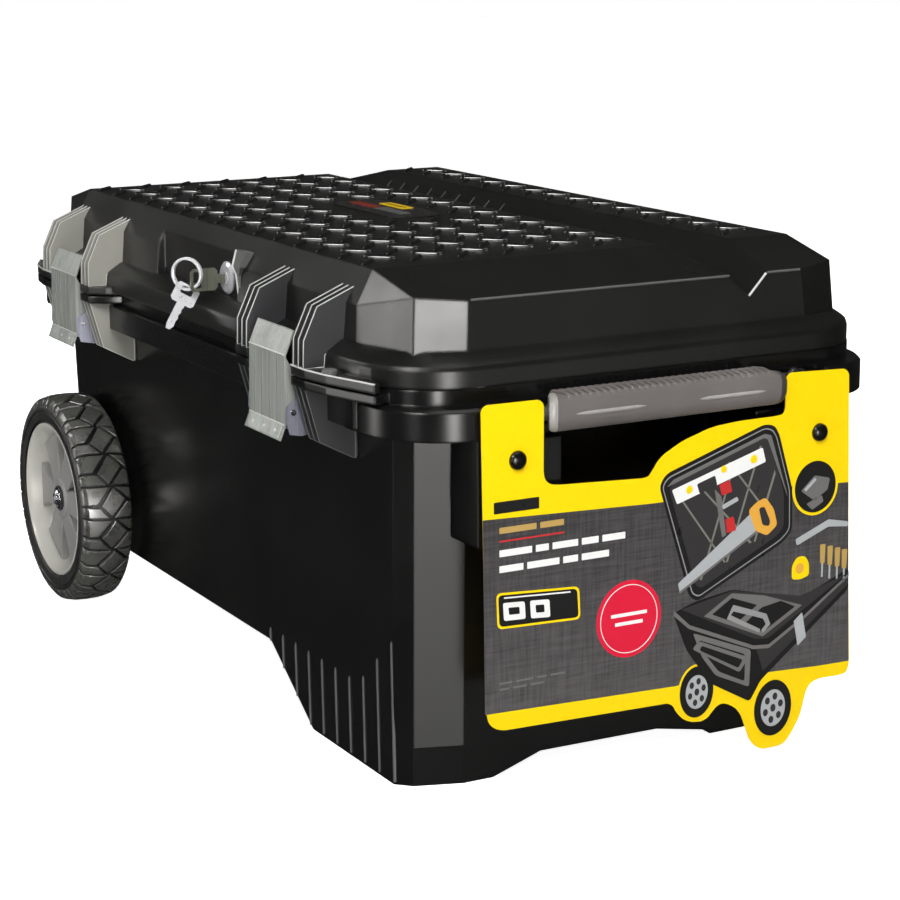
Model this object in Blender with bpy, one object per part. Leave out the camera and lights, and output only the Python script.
"""Wheeled carpenter's tool chest with a hinged lid, two latches, a lock and a pull handle.

Every physical piece is its own closed solid.  Numbers in this file are millimetres;
`MM` turns them into metres.  +X points to the pull-handle end, -Y to the latch side, +Z up.
"""
import math

import bmesh
import bpy
from mathutils import Vector

MM = 0.001

for old in list(bpy.data.objects):
    bpy.data.objects.remove(old, do_unlink=True)


# ---------------------------------------------------------------- materials

COLOURS = {
    "black_plastic": ((0.022, 0.022, 0.021), 0.42, 0.0),
    "grip_grey": ((0.17, 0.16, 0.16), 0.5, 0.0),
    "tray_plastic": ((0.04, 0.042, 0.048), 0.5, 0.0),
    "seal_rubber": ((0.05, 0.05, 0.05), 0.8, 0.0),
    "tyre_rubber": ((0.016, 0.016, 0.016), 0.6, 0.0),
    "hub_silver": ((0.62, 0.61, 0.6), 0.35, 0.6),
    "latch_steel": ((0.55, 0.57, 0.54), 0.4, 0.9),
    "bracket_zinc": ((0.55, 0.55, 0.66), 0.4, 0.8),
    "bright_steel": ((0.75, 0.76, 0.8), 0.22, 1.0),
    "lock_chrome": ((0.88, 0.89, 0.9), 0.12, 1.0),
    "key_steel": ((0.83, 0.83, 0.82), 0.25, 1.0),
    "tube_chrome": ((0.8, 0.81, 0.83), 0.15, 1.0),
    "card_print": ((0.95, 0.78, 0.02), 0.45, 0.0),
    "badge_dark": ((0.035, 0.033, 0.03), 0.3, 0.0),
}


def slot_material(slot):
    """One Principled material per slot, made the first time it is asked for."""
    if slot in bpy.data.materials:
        return bpy.data.materials[slot]
    colour, roughness, metallic = COLOURS[slot]
    material = bpy.data.materials.new(slot)
    material.use_nodes = True
    shader = material.node_tree.nodes["Principled BSDF"]
    shader.inputs["Base Color"].default_value = (*colour, 1.0)
    shader.inputs["Roughness"].default_value = roughness
    shader.inputs["Metallic"].default_value = metallic
    material.diffuse_color = (*colour, 1.0)
    return material


# ---------------------------------------------------------------- shape helpers

def make_object(name, points, faces):
    """A mesh object from millimetre points, with its faces turned outwards."""
    mesh = bpy.data.meshes.new(name)
    mesh.from_pydata([[value * MM for value in point] for point in points], [], faces)
    work = bmesh.new()
    work.from_mesh(mesh)
    bmesh.ops.recalc_face_normals(work, faces=work.faces)
    work.to_mesh(mesh)
    work.free()
    obj = bpy.data.objects.new(name, mesh)
    bpy.context.scene.collection.objects.link(obj)
    return obj


def loft(name, loops):
    """A solid through equal-length loops of points, closed at both ends."""
    count = len(loops[0])
    points = [point for loop in loops for point in loop]
    faces = [tuple(reversed(range(count)))]
    for level in range(len(loops) - 1):
        start = level * count
        for index in range(count):
            after = (index + 1) % count
            faces.append((start + index, start + after, start + count + after, start + count + index))
    top = (len(loops) - 1) * count
    faces.append(tuple(range(top, top + count)))
    return make_object(name, points, faces)


def prism(name, axis, outline, low, high):
    """An outline pushed along X (outline is y, z), Y (x, z) or Z (x, y)."""
    place = {
        "X": lambda pair, depth: (depth, pair[0], pair[1]),
        "Y": lambda pair, depth: (pair[0], depth, pair[1]),
        "Z": lambda pair, depth: (pair[0], pair[1], depth),
    }[axis]
    return loft(name, [[place(pair, depth) for pair in outline] for depth in (low, high)])


def box(name, low, high):
    outline = [(low[0], low[1]), (high[0], low[1]), (high[0], high[1]), (low[0], high[1])]
    return prism(name, "Z", outline, low[2], high[2])


def circle(centre, radius, steps):
    return [
        (centre[0] + radius * math.cos(2 * math.pi * i / steps),
         centre[1] + radius * math.sin(2 * math.pi * i / steps))
        for i in range(steps)
    ]


def cylinder(name, axis, centre, radius, low, high, steps=16):
    return prism(name, axis, circle(centre, radius, steps), low, high)


def revolve(name, axis, centre, profile, steps, closed):
    """Turn (along, radius) points about an axis; closed joins the last point to the first."""
    points = []
    rings = []
    for along, radius in profile:
        if radius < 1e-6:
            rings.append([len(points)])
            pairs = [centre]
        else:
            rings.append(list(range(len(points), len(points) + steps)))
            pairs = circle(centre, radius, steps)
        for pair in pairs:
            points.append({
                "X": (along, pair[0], pair[1]),
                "Y": (pair[0], along, pair[1]),
                "Z": (pair[0], pair[1], along),
            }[axis])
    faces = []
    last = len(rings) if closed else len(rings) - 1
    for row in range(last):
        first, second = rings[row], rings[(row + 1) % len(rings)]
        for i in range(steps):
            j = (i + 1) % steps
            if len(first) == 1 and len(second) == 1:
                continue
            if len(first) == 1:
                faces.append((first[0], second[i], second[j]))
            elif len(second) == 1:
                faces.append((first[i], first[j], second[0]))
            else:
                faces.append((first[i], first[j], second[j], second[i]))
    return make_object(name, points, faces)


def sweep(name, path, radius, sides, looped=False):
    """A round bar along a path of points; looped joins its two ends."""
    points = [Vector(point) for point in path]
    count = len(points)
    tangents = []
    for i in range(count):
        before = points[i - 1] if (i > 0 or looped) else points[i]
        after = points[(i + 1) % count] if (i < count - 1 or looped) else points[i]
        tangents.append((after - before).normalized())
    side = tangents[0].orthogonal().normalized()
    loops = []
    for point, tangent in zip(points, tangents):
        side = (side - tangent * side.dot(tangent)).normalized()
        other = tangent.cross(side)
        loops.append([
            point + radius * (math.cos(a) * side + math.sin(a) * other)
            for a in (2 * math.pi * k / sides for k in range(sides))
        ])
    if not looped:
        return loft(name, loops)
    faces = []
    for i in range(count):
        j = (i + 1) % count
        for k in range(sides):
            m = (k + 1) % sides
            faces.append((i * sides + k, i * sides + m, j * sides + m, j * sides + k))
    return make_object(name, [point for loop in loops for point in loop], faces)


def combine(target, operation, *tools):
    """Exact boolean of the target with each tool in turn; the tools are used up."""
    for tool in tools:
        modifier = target.modifiers.new("combine", "BOOLEAN")
        modifier.operation = operation
        modifier.solver = "EXACT"
        modifier.object = tool
        graph = bpy.context.evaluated_depsgraph_get()
        result = bpy.data.meshes.new_from_object(target.evaluated_get(graph))
        target.modifiers.clear()
        before = target.data
        target.data = result
        bpy.data.meshes.remove(before)
        bpy.data.objects.remove(tool, do_unlink=True)
    return target


def finish(obj, slot):
    """Tidy the mesh, split it into triangles and give it its material."""
    work = bmesh.new()
    work.from_mesh(obj.data)
    bmesh.ops.remove_doubles(work, verts=work.verts, dist=0.00002)
    bmesh.ops.dissolve_limit(
        work, angle_limit=math.radians(0.2), verts=work.verts, edges=work.edges,
        use_dissolve_boundaries=False,
    )
    bmesh.ops.triangulate(work, faces=work.faces)
    bmesh.ops.recalc_face_normals(work, faces=work.faces)
    work.to_mesh(obj.data)
    work.free()
    obj.data.materials.clear()
    obj.data.materials.append(slot_material(slot))
    return obj


def set_pivot(obj, pivot):
    """Put the object's origin on its joint axis without moving its shape."""
    offset = Vector([value * MM for value in pivot])
    for vertex in obj.data.vertices:
        vertex.co -= offset
    obj.location = offset


# ---------------------------------------------------------------- shared measures

SIDES = (-1, 1)
LATCH_CENTRES = {"right": 241.0, "left": -257.0}
FIN_OFFSETS = (47.0, 56.5, 66.0)
FIN_THICKNESS = 2.4
LATCH_PIVOT = (-257.0, 306.5)
LATCH_HALF = 35.5
HINGE_PIVOT = (247.0, 335.0)
HINGE_CENTRES = [-300.0 + 120.0 * i for i in range(6)]
LID_KNUCKLE_HALF = 22.0
TUB_KNUCKLE_SPAN = (22.5, 38.0)
WHEEL_X = -300.0
WHEEL_RADIUS = 109.0
WHEEL_Y = 245.5
WHEEL_STEPS = 36
LOCK_X = 54.2
LOCK_Z = 385.6
TUBE_Y = 150.0
TUBE_Z = 319.5
TUBE_RADIUS = 7.0
TUBE_CROSS_X = 437.0
GRAB_TUBE = (-438.0, 264.0)
GROOVE_Y = 106.5
GROOVE_BOTTOM = 391.2
PEGS = ((-141.5, 287.0), (154.0, 277.0))
CARD_BACK = 447.0
CARD_THICKNESS = 0.8


def rounded(half_x, half_y, radius_x, radius_y, height, steps=10):
    """A rectangle with elliptical corners, as points at one height."""
    loop = []
    for sign_x, sign_y, start in ((1, 1, 0), (-1, 1, 90), (-1, -1, 180), (1, -1, 270)):
        for k in range(steps + 1):
            angle = math.radians(start + 90.0 * k / steps)
            loop.append((
                sign_x * (half_x - radius_x) + radius_x * math.cos(angle),
                sign_y * (half_y - radius_y) + radius_y * math.sin(angle),
                height,
            ))
    return loop


def twelve(corner_points, heights):
    """Mirror three corner points (end, middle, side) into a twelve-sided loop."""
    loop = []
    for sign_x, sign_y in ((1, 1), (-1, 1), (-1, -1), (1, -1)):
        trio = list(zip(corner_points, heights))
        if sign_x * sign_y < 0:
            trio.reverse()
        for (x, y), z in trio:
            loop.append((sign_x * x, sign_y * y, z))
    return loop


# ---------------------------------------------------------------- tub

def wall_loop(height, inset):
    """Outline of the tub wall at one height: drafted, with a two-step corner."""
    share = height / 330.0
    half_x = 386.0 + 15.0 * share - inset
    half_y = 209.0 + 4.5 * share - inset
    corner = [(half_x, half_y - 52.0), (half_x - 14.0, half_y - 12.0), (half_x - 26.0, half_y)]
    return twelve(corner, [height] * 3)


def web_outline(centre, outward, edge_y, inner_y):
    """Plan of the flat web outboard of a latch, tapering towards the chest's corner."""
    s = outward
    return [
        (centre + s * 43.0, edge_y),
        (centre + s * 69.0, edge_y),
        (centre + s * 99.0, edge_y + 5.0),
        (s * 394.5, -239.5),
        (s * 390.0, inner_y),
        (centre + s * 43.0, inner_y),
    ]


def inner_web_outline(centre, outward, edge_y, inner_y):
    """Plan of the small web between a latch and the middle of the chest."""
    s = -outward
    return [
        (centre + s * 43.0, edge_y),
        (centre + s * 69.0, edge_y),
        (centre + s * 80.0, -248.0),
        (centre + s * 86.0, inner_y),
        (centre + s * 43.0, inner_y),
    ]


ARCH_OUTLINE = [(-129, -5), (91, -5), (91, 0), (86, 4.5), (34, 14.5), (-83, 15.5), (-129, 0)]


def build_tub():
    tub = loft("tub", [wall_loop(0.0, 0.0), wall_loop(330.0, 0.0)])
    flange = loft("flange", [
        rounded(440.0, 239.5, 75.0, 70.0, 304.0),
        rounded(440.0, 239.5, 75.0, 70.0, 327.0),
        rounded(437.0, 236.5, 72.0, 67.0, 330.0),
    ])
    neck = loft("neck", [
        rounded(419.0, 232.0, 60.0, 52.0, 322.0),
        rounded(419.0, 232.0, 60.0, 52.0, 342.7),
    ])
    combine(tub, "UNION", flange, neck)

    cavity = loft("cavity", [wall_loop(64.0, 4.0), wall_loop(350.0, 4.0)])
    combine(cavity, "DIFFERENCE", box("step", (-450, -260, 40), (-232, 260, 139)))
    combine(tub, "DIFFERENCE", cavity)

    channel = loft("channel", [
        rounded(436.5, 236.0, 72.0, 67.0, 296.0),
        rounded(436.5, 236.0, 72.0, 67.0, 326.4),
    ])
    combine(channel, "DIFFERENCE", loft("keep", [wall_loop(280.0, -0.4), wall_loop(335.0, -0.4)]))
    combine(tub, "DIFFERENCE", channel)

    for centre in LATCH_CENTRES.values():
        block = box("block", (centre - 50, -239.2, 287), (centre + 50, -210.5, 329.4))
        combine(tub, "UNION", block)
    end_block = box("end_block", (399, -168, 304.4), (423.8, 168, 329.4))
    pocket_shell = box("pocket_shell", (361, -99, 216), (396, 99, 304.5))
    combine(tub, "UNION", end_block, pocket_shell)
    for side in SIDES:
        low_y, high_y = sorted((side * 95.0, side * 172.0))
        combine(tub, "UNION", box("cheek", (394, low_y, 216), (438, high_y, 305)))

    for side in SIDES:
        low_y, high_y = sorted((side * 138.0, side * 211.0))
        tunnel = box("tunnel", (-62, low_y, 304.8), (371, high_y, 331))
        ledge = box("ledge", (-371, low_y, 318), (-61, high_y, 331))
        nose_low, nose_high = sorted((side * 138.0, side * 160.0))
        nose = box("nose", (370, nose_low, 304.8), (398, nose_high, 331))
        combine(tub, "UNION", tunnel, ledge, nose)

    for name, centre in LATCH_CENTRES.items():
        outward = 1 if centre > 0 else -1
        combine(
            tub, "UNION",
            prism("web", "Z", web_outline(centre, outward, -260.5, -225.0), 331.5, 338.5),
            prism("web", "Z", inner_web_outline(centre, outward, -260.5, -225.0), 331.5, 338.5),
        )
        for side in SIDES:
            for offset in FIN_OFFSETS:
                x = centre + side * offset
                outline = [
                    (-259.7, 335.0), (-247.0, 286.0), (-216.3, 269.6), (-211.0, 269.6), (-211.0, 335.0),
                ]
                fin = prism("fin", "X", outline, x - FIN_THICKNESS / 2, x + FIN_THICKNESS / 2)
                combine(tub, "UNION", fin)
        post_low, post_high = sorted((outward * 350.0, outward * 363.0))
        combine(tub, "UNION", box("post", (post_low, -244, 306), (post_high, -226, 335)))

    for side in SIDES:
        outline = [
            (-398, 303.5), (-440, 303.5), (-452, 290), (-455, 264), (-450, 252),
            (-438, 247), (-426, 252), (-420, 262), (-397, 276),
        ]
        low_y, high_y = sorted((side * 113.0, side * 125.0))
        combine(tub, "UNION", prism("bracket", "Y", outline, low_y, high_y))

    for centre in HINGE_CENTRES:
        for side in SIDES:
            low_x, high_x = sorted((centre + side * TUB_KNUCKLE_SPAN[0], centre + side * TUB_KNUCKLE_SPAN[1]))
            outline = [
                (236.0, 323.0), (243.0, 323.0), (252.0, 331.0), (253.0, 336.0), (250.0, 340.4),
                (245.0, 340.6), (241.2, 336.5), (240.0, 329.0), (236.0, 328.6),
            ]
            combine(tub, "UNION", prism("knuckle", "X", outline, low_x, high_x))

    cuts = [
        prism("under", "Y", [(-460, -5), (206, -5), (204.5, 0), (118, 60), (-460, 60)], -260, 260),
        prism("arch", "X", ARCH_OUTLINE, 100, 420),
        box("floor_pan", (212, -132, 25), (364, 132, 70)),
        box("axle_notch", (-430, -166, 40), (-238, 166, 135)),
        box("finger_pocket", (365, -95, 220), (450, 95, 300)),
        box("grip_recess", (424, -166, 300), (450, 166, 334)),
        cylinder("axle_bore", "Y", (WHEEL_X, WHEEL_RADIUS), 6.3, -230, 230, 24),
        cylinder("grab_bore", "Y", GRAB_TUBE, 13.3, -130, 130, 20),
        cylinder("hinge_bore", "X", HINGE_PIVOT, 2.65, -352, 352, 12),
    ]
    for side in SIDES:
        well_low, well_high = sorted((side * 139.0, side * 193.0))
        cuts.append(box("well", (212, well_low, 6), (364, well_high, 70)))
        hollow_low, hollow_high = sorted((side * 101.0, side * 168.0))
        cuts.append(box("cheek_hollow", (380, hollow_low, 220), (434, hollow_high, 300)))
        cuts.append(cylinder("tunnel_bore", "X", (side * TUBE_Y, TUBE_Z), 7.7, -70, 402))
        cuts.append(cylinder("bush_bore", "X", (side * TUBE_Y, TUBE_Z), 9.4, 399.7, 430))
    for centre in LATCH_CENTRES.values():
        cuts.append(box("latch_recess", (centre - 41.5, -270, 280), (centre + 41.5, -225, 345)))
        for side in SIDES:
            cuts.append(cylinder("rivet_bore", "Y", (centre + side * 19.0, 321.5), 2.7, -230, -218.5, 12))
    combine(tub, "DIFFERENCE", *cuts)
    finish(tub, "black_plastic")


build_tub()


# ---------------------------------------------------------------- lid

def hat(name, inset, foot):
    """The lid's crown: drafted walls, two-step corners, hipped slopes and a flat plateau."""
    drop = inset
    reach = (370.0 - foot) * 0.075
    base = [(408.8 - inset, 164.8 - inset), (394.4 - inset, 205.4 - inset), (330.4 - inset, 224.1 - inset)]
    low = twelve([(x + reach, y + reach) for x, y in base], [foot] * 3)
    crest = [(406.0 - inset, 162.0 - inset), (391.5 - inset, 202.6 - inset), (327.6 - inset, 221.3 - inset)]
    high = twelve(crest, [410.0 - drop, 413.3 - drop, 400.0 - drop])
    flat = [(sx * (325.7 - inset), sy * (205.0 - inset), 428.0 - drop)
            for sx, sy in ((1, 1), (-1, 1), (-1, -1), (1, -1))]
    points = low + high + flat
    faces = [tuple(reversed(range(12)))]
    for i in range(12):
        j = (i + 1) % 12
        faces.append((i, j, 12 + j, 12 + i))
    p0, p1, p2, p3 = 24, 25, 26, 27
    # High loop order: quadrant ++ (end, mid, side), -+ (side, mid, end), -- and +- alike.
    faces += [(p0, 13, 14), (p1, 15, 16), (p2, 19, 20), (p3, 21, 22)]
    faces += [(p0, 14, 15, p1), (p2, 20, 21, p3)]
    faces += [(p1, 16, 17, 18, 19, p2), (p3, 22, 23, 12, 13, p0)]
    faces.append((p0, p1, p2, p3))
    return make_object(name, points, faces)


def build_lid():
    lid = loft("lid", [
        rounded(424.0, 241.0, 90.0, 75.0, 343.0),
        rounded(424.0, 241.0, 90.0, 75.0, 357.0),
        rounded(422.5, 239.5, 88.5, 73.5, 360.6),
        rounded(419.0, 236.0, 85.0, 70.0, 363.2),
        rounded(409.5, 225.5, 74.0, 60.0, 369.6),
    ])
    combine(lid, "UNION", hat("crown", 0.0, 350.0))
    combine(lid, "DIFFERENCE", hat("hollow", 4.0, 335.0))

    groove_shell = prism("groove_shell", "X", [
        (GROOVE_Y, GROOVE_BOTTOM - 5.7), (GROOVE_Y + 48.0, GROOVE_BOTTOM + 42.3),
        (GROOVE_Y - 48.0, GROOVE_BOTTOM + 42.3),
    ], -404, 404)
    lock_shell = box("lock_shell", (-104, -223, 362), (98, -209.6, 419))
    stiffeners = None
    for lean in SIDES:
        for i in range(-2, 3):
            x = 130.0 * i
            half = 1.6
            outline = [
                (x - lean * 230.0 - half, -230.0), (x - lean * 230.0 + half, -230.0),
                (x + lean * 230.0 + half, 230.0), (x + lean * 230.0 - half, 230.0),
            ]
            bar = prism("bar", "Z", outline, 414.0, 436.0)
            if stiffeners is None:
                stiffeners = bar
            else:
                combine(stiffeners, "UNION", bar)
    for piece, margin in ((groove_shell, 1.0), (lock_shell, 1.0), (stiffeners, 2.0)):
        combine(piece, "INTERSECT", hat("limit", margin, 330.0))
        combine(lid, "UNION", piece)

    for name, centre in LATCH_CENTRES.items():
        outward = 1 if centre > 0 else -1
        combine(
            lid, "UNION",
            prism("web", "Z", web_outline(centre, outward, -260.5, -233.0), 340.2, 347.8),
            prism("web", "Z", inner_web_outline(centre, outward, -260.5, -233.0), 340.2, 347.8),
            cylinder("boss", "Z", (centre + outward * 94.0, -250.0), 6.5, 346.0, 351.0, 12),
            prism("catch", "X", [(-236.0, 349.5), (-250.8, 352.0), (-250.8, 364.0), (-232.0, 368.0)],
                  centre - 31.5, centre + 31.5),
        )
        for side in SIDES:
            for offset in FIN_OFFSETS:
                x = centre + side * offset
                outline = [
                    (-260.6, 344.0), (-259.8, 371.0), (-247.3, 398.0), (-213.2, 412.2), (-216.5, 404.5),
                    (-219.0, 398.0), (-219.4, 367.0), (-235.0, 358.0), (-236.0, 344.0),
                ]
                fin = prism("fin", "X", outline, x - FIN_THICKNESS / 2, x + FIN_THICKNESS / 2)
                combine(lid, "UNION", fin)

    for centre in HINGE_CENTRES:
        outline = [
            (238.0, 352.0), (249.0, 351.0), (252.6, 339.0), (253.0, 334.0), (250.0, 329.8),
            (245.0, 329.4), (241.4, 333.0), (241.3, 339.0), (238.0, 346.0),
        ]
        low_x, high_x = centre - LID_KNUCKLE_HALF, centre + LID_KNUCKLE_HALF
        combine(lid, "UNION", prism("knuckle", "X", outline, low_x, high_x))

    seal_groove = loft("seal_groove", [
        rounded(416.3, 229.8, 58.0, 51.0, 340.0), rounded(416.3, 229.8, 58.0, 51.0, 347.9),
    ])
    combine(seal_groove, "DIFFERENCE", loft("inside", [
        rounded(410.2, 224.2, 55.0, 48.0, 335.0), rounded(410.2, 224.2, 55.0, 48.0, 350.0),
    ]))
    combine(
        lid, "DIFFERENCE",
        prism("groove", "X", [
            (GROOVE_Y, GROOVE_BOTTOM), (GROOVE_Y + 50.0, GROOVE_BOTTOM + 50.0),
            (GROOVE_Y - 50.0, GROOVE_BOTTOM + 50.0),
        ], -440, 440),
        box("lock_recess", (-98, -250, 370.2), (92, -215, 413.5)),
        cylinder("lock_bore", "Y", (LOCK_X, LOCK_Z), 10.3, -226, -200, 20),
        cylinder("hinge_bore", "X", HINGE_PIVOT, 2.65, -352, 352, 12),
        seal_groove,
    )
    finish(lid, "black_plastic")
    set_pivot(lid, (0.0, *HINGE_PIVOT))


build_lid()


def build_lid_trim():
    seal = loft("lid_seal", [
        rounded(416.0, 229.5, 58.0, 51.0, 343.0), rounded(416.0, 229.5, 58.0, 51.0, 347.6),
    ])
    combine(seal, "DIFFERENCE", loft("inside", [
        rounded(410.5, 224.5, 55.0, 48.0, 335.0), rounded(410.5, 224.5, 55.0, 48.0, 350.0),
    ]))
    finish(seal, "seal_rubber")
    badge = loft("badge_plate", [
        [(x - 12.0, y - 20.0, z) for x, y, z in rounded(70.0, 27.0, 14.0, 14.0, 428.2, 4)],
        [(x - 12.0, y - 20.0, z) for x, y, z in rounded(70.0, 27.0, 14.0, 14.0, 428.9, 4)],
        [(x - 12.0, y - 20.0, z) for x, y, z in rounded(68.6, 25.6, 12.6, 12.6, 429.6, 4)],
    ])
    finish(badge, "badge_dark")
    housing = revolve("lock_housing", "Y", (LOCK_X, LOCK_Z), [
        (-215.2, 15.0), (-216.6, 15.0), (-218.2, 12.5), (-218.2, 6.5), (-203.4, 6.5), (-203.4, 10.0),
        (-215.2, 10.0),
    ], 24, True)
    finish(housing, "lock_chrome")
    nut = revolve("lock_nut", "Y", (LOCK_X, LOCK_Z), [
        (-209.3, 10.4), (-209.3, 14.5), (-204.6, 14.5), (-204.6, 10.4),
    ], 12, True)
    finish(nut, "bright_steel")
    pin = cylinder("hinge_pin", "X", HINGE_PIVOT, 2.5, -345, 345, 12)
    finish(pin, "bright_steel")
    for obj in (seal, badge, housing, nut):
        set_pivot(obj, (0.0, *HINGE_PIVOT))


build_lid_trim()


# ---------------------------------------------------------------- lock, keys and ring

def build_lock():
    pivot = (LOCK_X, -218.0, LOCK_Z)
    plug = revolve("lock_plug", "Y", (LOCK_X, LOCK_Z), [
        (-218.6, 0.0), (-218.6, 6.1), (-200.0, 6.1), (-200.0, 0.0),
    ], 16, False)
    combine(plug, "DIFFERENCE", box(
        "keyway", (LOCK_X - 1.3, -230, LOCK_Z - 4.3), (LOCK_X + 1.3, -204, LOCK_Z + 4.3)))
    finish(plug, "bright_steel")

    cam_outline = [
        (LOCK_X - 9, LOCK_Z - 6), (LOCK_X + 34, LOCK_Z - 6), (LOCK_X + 34, LOCK_Z - 20),
        (LOCK_X + 46, LOCK_Z - 20), (LOCK_X + 46, LOCK_Z + 6), (LOCK_X - 9, LOCK_Z + 6),
    ]
    cam = prism("lock_cam", "Y", cam_outline, -199.7, -197.7)
    finish(cam, "bright_steel")

    bow = [
        (-226, 4), (-226, 7.4), (-228.6, 10.2), (-249.4, 10.2), (-252.2, 7.2), (-252.2, -7.2),
        (-249.4, -10.2), (-228.6, -10.2), (-226, -7.4), (-226, -4), (-205.5, -4), (-204.6, -2), (-204.6, 4),
    ]
    key = prism("key", "X", [(y, LOCK_Z + z) for y, z in bow], LOCK_X - 0.9, LOCK_X + 0.9)
    window = [
        (-241.4, -6.4), (-242.6, -7.6), (-248.2, -7.6), (-249.4, -6.4),
        (-249.4, 6.4), (-248.2, 7.6), (-242.6, 7.6), (-241.4, 6.4),
    ]
    combine(key, "DIFFERENCE", prism(
        "window", "X", [(y, LOCK_Z + z) for y, z in window], LOCK_X - 3, LOCK_X + 3))
    finish(key, "key_steel")

    centre = Vector((LOCK_X - 7.8, -251.9, LOCK_Z + 5.2))
    across = Vector((math.sin(math.radians(50)), math.cos(math.radians(50)), 0.0))
    ring_radius = 14.5
    path = []
    for i in range(32):
        angle = 2 * math.pi * i / 32
        upright = Vector((0, 0, 1))
        path.append(centre + ring_radius * (math.cos(angle) * across + math.sin(angle) * upright))
    ring = sweep("key_ring", path, 1.1, 8, looped=True)
    finish(ring, "bright_steel")
    for obj in (plug, cam, key, ring):
        set_pivot(obj, pivot)

    hang = centre - Vector((0, 0, ring_radius))
    tilt = math.radians(30)
    down = Vector((0, -math.sin(tilt), -math.cos(tilt)))
    wide = Vector((0, math.cos(tilt), -math.sin(tilt)))
    slot = hang + 1.2 * down

    def on_key(pair):
        place = slot + pair[0] * wide + pair[1] * down
        return (place.y, place.z)

    outline = [
        (-9.4, -5.6), (9.4, -5.6), (12, -3.0), (12, 10.2), (9.6, 12.6), (4.0, 12.6), (4.0, 15.0),
        (3.0, 17.0), (3.8, 20.0), (2.4, 23.0), (3.6, 26.0), (2.6, 29.0), (3.0, 34.0), (0.6, 38.0),
        (-2.6, 38.0), (-4.0, 34.0), (-4.0, 12.6), (-9.6, 12.6), (-12, 10.2), (-12, -3.0),
    ]
    spare = prism("spare_key", "X", [on_key(pair) for pair in outline], hang.x - 0.9, hang.x + 0.9)
    opening = [
        (-6.5, -2.0), (-5.2, -3.4), (5.2, -3.4), (6.5, -2.0),
        (6.5, 2.0), (5.2, 3.4), (-5.2, 3.4), (-6.5, 2.0),
    ]
    cutter = prism("opening", "X", [on_key(pair) for pair in opening], hang.x - 3, hang.x + 3)
    combine(spare, "DIFFERENCE", cutter)
    finish(spare, "key_steel")
    set_pivot(spare, hang)

    strike_x = LOCK_X - 13.0
    strike = box("strike_plate", (LOCK_X - 26, -208.8, 331.4), (LOCK_X + 4, -207.3, 341.5))
    combine(
        strike, "UNION",
        box("strip", (strike_x - 5, -208.8, 340), (strike_x + 5, -207.3, 354.4)),
        box("tab", (strike_x - 5, -208.8, 352.9), (strike_x + 5, -196.5, 354.4)),
    )
    finish(strike, "bright_steel")


build_lock()


# ---------------------------------------------------------------- latches

def build_latch(name, centre):
    plate_outline = [
        (-253.7, 374.8), (-262.5, 354.5), (-263.6, 296.0), (-268.6, 283.4),
        (-267.2, 282.8), (-262.1, 296.0), (-261.0, 354.2), (-252.4, 374.2),
    ]
    lever = prism("latch_lever_" + name, "X", plate_outline, centre - LATCH_HALF, centre + LATCH_HALF)
    cheek_outline = [
        (-261.9, 353.6), (-256.5, 344.0), (-253.0, 317.0), (-250.6, 306.5), (-252.6, 300.5), (-262.8, 296.6),
    ]
    for side in SIDES:
        low_x, high_x = sorted((centre + side * (LATCH_HALF - 0.02), centre + side * (LATCH_HALF - 1.5)))
        combine(lever, "UNION", prism("cheek", "X", cheek_outline, low_x, high_x))
    combine(lever, "DIFFERENCE", cylinder("pin_hole", "X", LATCH_PIVOT, 2.85, centre - 45, centre + 45, 12))
    finish(lever, "latch_steel")
    set_pivot(lever, (centre, *LATCH_PIVOT))

    bracket = box("latch_bracket_" + name, (centre - 38.4, -226.7, 288), (centre + 38.4, -225.3, 329))
    ear_outline = [
        (-225.4, 328.0), (-252.6, 318.4), (-262.6, 312.0), (-263.4, 300.0), (-260.0, 288.0),
        (-250.0, 286.0), (-225.4, 288.6),
    ]
    for side in SIDES:
        low_x, high_x = sorted((centre + side * 37.0, centre + side * 38.38))
        combine(bracket, "UNION", prism("ear", "X", ear_outline, low_x, high_x))
    combine(bracket, "DIFFERENCE", cylinder("pin_hole", "X", LATCH_PIVOT, 2.75, centre - 45, centre + 45, 12))
    for side in SIDES:
        hole = cylinder("rivet_hole", "Y", (centre + side * 19.0, 321.5), 2.7, -232, -222, 12)
        combine(bracket, "DIFFERENCE", hole)
    finish(bracket, "bracket_zinc")
    pin = cylinder("latch_pin_" + name, "X", LATCH_PIVOT, 2.5, centre - 39.4, centre + 39.4, 12)
    finish(pin, "bright_steel")
    for label, side in (("a", -1), ("b", 1)):
        rivet = revolve(f"latch_rivet_{name}_{label}", "Y", (centre + side * 19.0, 321.5), [
            (-228.9, 0.0), (-228.4, 3.0), (-226.9, 4.2), (-226.9, 2.4), (-219.0, 2.4), (-219.0, 0.0),
        ], 12, False)
        finish(rivet, "bright_steel")


for latch_name, latch_centre in LATCH_CENTRES.items():
    build_latch(latch_name, latch_centre)


# ---------------------------------------------------------------- wheels

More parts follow.
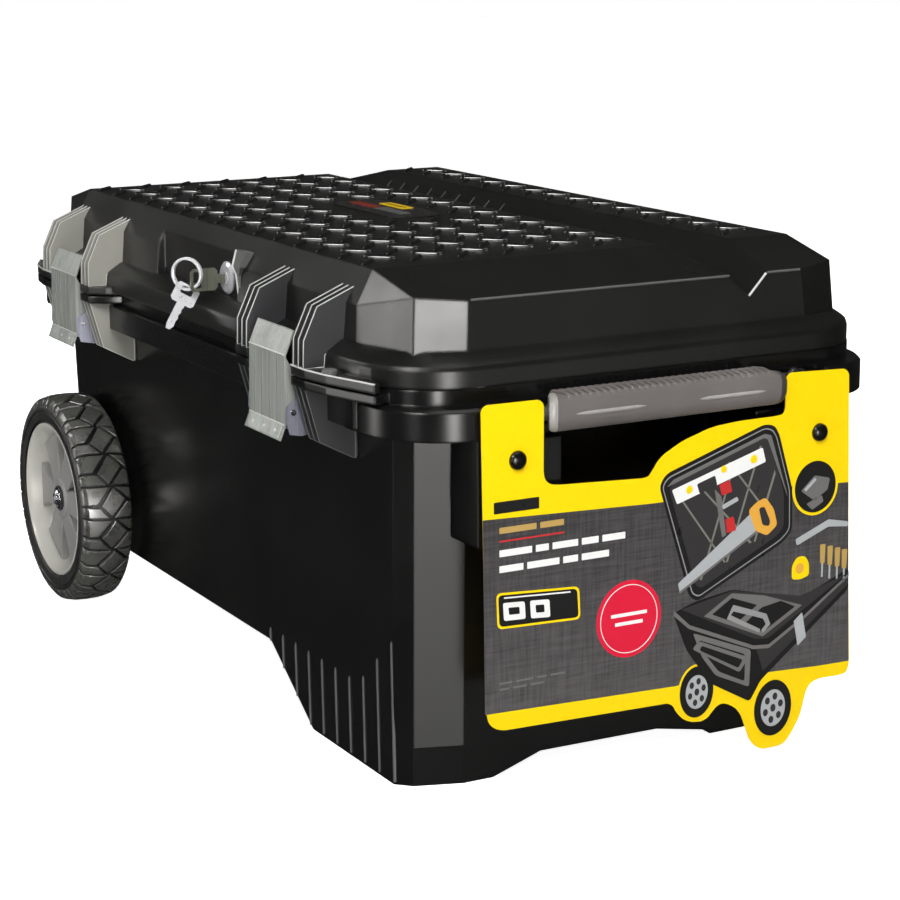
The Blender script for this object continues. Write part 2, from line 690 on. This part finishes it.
def build_wheel(name, side):
    pivot = (WHEEL_X, side * WHEEL_Y, WHEEL_RADIUS)
    centre = (WHEEL_X, WHEEL_RADIUS)

    def outward(profile):
        return [(side * (WHEEL_Y + along), radius) for along, radius in profile]

    tyre = revolve("tyre_" + name, "Y", centre, outward([
        (-26.0, 85.0), (-26.0, 98.5), (-22.5, 105.0), (-13.0, 108.4), (0.0, 109.0),
        (13.0, 108.4), (22.5, 105.0), (26.0, 98.5), (26.0, 85.0), (23.5, 80.6), (-23.5, 80.6),
    ]), WHEEL_STEPS, True)
    finish(tyre, "tyre_rubber")

    hub = revolve("hub_" + name, "Y", centre, outward([
        (-23.0, 80.3), (-23.0, 76.0), (-2.0, 73.5), (2.0, 24.0), (-30.0, 20.0), (-33.0, 18.0), (-33.0, 6.15),
        (17.0, 6.15), (17.0, 12.0), (13.5, 14.0), (12.5, 24.0), (7.0, 70.0), (20.0, 77.0), (24.5, 80.3),
    ]), WHEEL_STEPS, True)
    for i in range(6):
        middle = math.radians(60.0 * i + 30.0)
        window = []
        for radius, half in ((32.0, 14.0), (64.0, 19.0)):
            window.append((radius, -math.radians(half)))
            window.append((radius, math.radians(half)))
        corners = [window[0], window[2], window[3], window[1]]
        outline = [
            (centre[0] + radius * math.cos(middle + angle), centre[1] + radius * math.sin(middle + angle))
            for radius, angle in corners
        ]
        low_y, high_y = sorted((side * (WHEEL_Y - 10.0), side * (WHEEL_Y + 22.0)))
        combine(hub, "DIFFERENCE", prism("window", "Y", outline, low_y, high_y))
    finish(hub, "hub_silver")
    for obj in (tyre, hub):
        set_pivot(obj, pivot)

    cap = revolve("axle_cap_" + name, "Y", centre, outward([
        (17.3, 0.0), (17.3, 9.0), (19.0, 9.0), (21.5, 6.0), (22.4, 0.0),
    ]), 16, False)
    finish(cap, "bright_steel")


for wheel_name, wheel_side in (("front", -1), ("rear", 1)):
    build_wheel(wheel_name, wheel_side)
finish(cylinder("axle", "Y", (WHEEL_X, WHEEL_RADIUS), 6.0, -262.5, 262.5, 24), "bright_steel")


# ---------------------------------------------------------------- handles

def build_handles():
    grab_section = [(-127, 13.0), (127, 13.0), (127, 9.5), (-127, 9.5)]
    grab = revolve("grab_tube", "Y", GRAB_TUBE, grab_section, 20, True)
    finish(grab, "black_plastic")

    bend_radius = 13.0
    path = [(-20.0, -TUBE_Y, TUBE_Z)]
    for i in range(7):
        angle = math.radians(-90 + 15 * i)
        path.append((
            TUBE_CROSS_X - bend_radius + bend_radius * math.cos(angle),
            -TUBE_Y + bend_radius + bend_radius * math.sin(angle),
            TUBE_Z,
        ))
    path += [(x, -y, z) for x, y, z in reversed(path)]
    tube = sweep("handle_tube", path, TUBE_RADIUS, 16)
    finish(tube, "tube_chrome")

    section = [
        (425, 309), (429, 305), (447, 305), (453, 309), (455, 316), (455, 328), (452, 335), (446, 339),
        (430, 339), (425, 335),
    ]

    def grip_loop(y, scale):
        return [(440 + (x - 440) * scale, y, 322 + (z - 322) * scale) for x, z in section]

    grip = loft("handle_grip", [
        grip_loop(-115.5, 0.86), grip_loop(-110.0, 1.0), grip_loop(110.0, 1.0), grip_loop(115.5, 0.86),
    ])
    combine(grip, "DIFFERENCE", cylinder("bore", "Y", (TUBE_CROSS_X, TUBE_Z), 7.3, -130, 130, 16))
    finish(grip, "grip_grey")

    for name, side in (("front", -1), ("rear", 1)):
        centre = (side * TUBE_Y, TUBE_Z)
        bush = revolve("handle_bush_" + name, "X", centre, [
            (400.0, 7.4), (423.5, 7.4), (423.5, 9.0), (400.0, 9.0),
        ], 16, True)
        finish(bush, "tray_plastic")
        plug = cylinder("tube_plug_" + name, "X", centre, 7.0, -29.0, -20.3, 16)
        finish(plug, "tray_plastic")


build_handles()


# ---------------------------------------------------------------- tray

def build_tray():
    tray = loft("tray", [
        [(x - 205.0, y, z) for x, y, z in rounded(160.0, 128.0, 14.0, 14.0, 245.0, 2)],
        [(x - 205.0, y, z) for x, y, z in rounded(166.0, 133.5, 14.0, 14.0, 333.0, 2)],
    ])
    rim = prism("rim", "Z", [
        (-378, -165), (-358, -190), (-52, -190), (-32, -165),
        (-32, 165), (-52, 190), (-358, 190), (-378, 165),
    ], 331.3, 334.4)
    combine(tray, "UNION", rim)
    room = loft("room", [
        [(x - 205.0, y, z) for x, y, z in rounded(157.4, 125.4, 12.0, 12.0, 248.0, 2)],
        [(x - 205.0, y, z) for x, y, z in rounded(163.5, 131.0, 12.0, 12.0, 340.0, 2)],
    ])
    combine(room, "DIFFERENCE",
            box("divider", (-331.2, -150, 240), (-328.8, 150, 312)),
            box("divider", (-81.2, -150, 240), (-78.8, 150, 312)))
    combine(tray, "DIFFERENCE", room)
    finish(tray, "tray_plastic")

    arch = prism("tray_handle", "Y", [
        (-305, 248.3), (-105, 248.3), (-105, 350), (-120, 384), (-290, 384), (-305, 350),
    ], -9, 9)
    opening = [(-277, 330), (-133, 330), (-133, 352), (-142, 366), (-268, 366), (-277, 352)]
    combine(arch, "DIFFERENCE",
            prism("window", "Y", opening, -20, 20),
            box("hollow", (-292, -6.5, 240), (-118, 6.5, 318)))
    finish(arch, "tray_plastic")
    for obj in (tray, arch):
        set_pivot(obj, (-205.0, 0.0, 290.0))


build_tray()


# ---------------------------------------------------------------- card and its pegs

def trimmed(outline, reach):
    """The outline with each corner cut off up to `reach` mm back along both its edges."""
    points = []
    count = len(outline)
    for index, corner in enumerate(outline):
        for neighbour in (outline[index - 1], outline[(index + 1) % count]):
            length = math.dist(corner, neighbour)
            share = min(0.25, reach / length)
            points.append((corner[0] + (neighbour[0] - corner[0]) * share,
                           corner[1] + (neighbour[1] - corner[1]) * share))
    return points


def build_card():
    outline = [
        (-174.5, 334.0), (-172.0, 200.0), (-170.0, 82.0), (-167.0, 71.0), (-157.0, 65.0), (8.0, 61.0),
        (14.4, 49.5), (24.6, 41.0), (42.5, 38.7), (56.0, 52.5), (67.0, 50.0), (78.0, 41.6), (84.0, 27.0),
        (89.3, 12.5), (100.2, 3.0), (124.6, 3.0), (133.0, 12.0), (141.9, 26.1), (149.0, 52.2), (159.0, 57.4),
        (186.0, 56.6), (192.0, 58.5), (194.2, 67.6), (190.0, 150.0), (183.4, 329.0), (118.0, 331.5),
        (118.0, 297.0), (110.0, 295.6), (71.0, 295.5), (44.0, 293.3), (14.7, 284.8), (-6.6, 273.9),
        (-15.0, 262.0), (-19.0, 257.8), (-105.5, 262.4), (-113.0, 264.5), (-117.5, 270.0), (-117.5, 333.5),
    ]
    smooth_outline = trimmed(trimmed(outline, 4.0), 1.5)
    card = prism("label_card", "X", smooth_outline, CARD_BACK, CARD_BACK + CARD_THICKNESS)
    for peg in PEGS:
        combine(card, "DIFFERENCE", cylinder("hole", "X", peg, 4.3, CARD_BACK - 5, CARD_BACK + 5, 12))
    finish(card, "card_print")

    face = CARD_BACK + CARD_THICKNESS + 0.2
    back = CARD_BACK - 0.3
    for name, side, peg in zip(("front", "rear"), SIDES, PEGS):
        low_y, high_y = sorted((side * 120.0, side * 134.0))
        clip = cylinder("card_clip_" + name, "Y", (TUBE_CROSS_X, TUBE_Z), 9.6, low_y, high_y, 20)
        strap_low, strap_high = sorted((side * 120.0, peg[0] + side * 8.0))
        strap = box("strap", (back - 3.6, strap_low, peg[1] - 8.0), (back, strap_high, TUBE_Z - 6.0))
        tube_hole = cylinder("tube_hole", "Y", (TUBE_CROSS_X, TUBE_Z), 7.3, low_y - 5, high_y + 5, 20)
        relief = box("relief", (425, low_y - 40, TUBE_Z - 15), (back - 3.7, high_y + 40, TUBE_Z - 7.3))
        combine(clip, "UNION", strap)
        combine(clip, "DIFFERENCE", tube_hole, relief, cylinder("hole", "X", peg, 4.3, 430, 450, 12))
        finish(clip, "tray_plastic")

        fastener = revolve("card_peg_" + name, "X", peg, [
            (439.2, 0.0), (440.6, 4.0), (face, 4.0), (face, 6.6), (face + 2.6, 5.4), (face + 4.0, 2.8),
            (face + 4.4, 0.0),
        ], 12, False)
        finish(fastener, "black_plastic")


build_card()
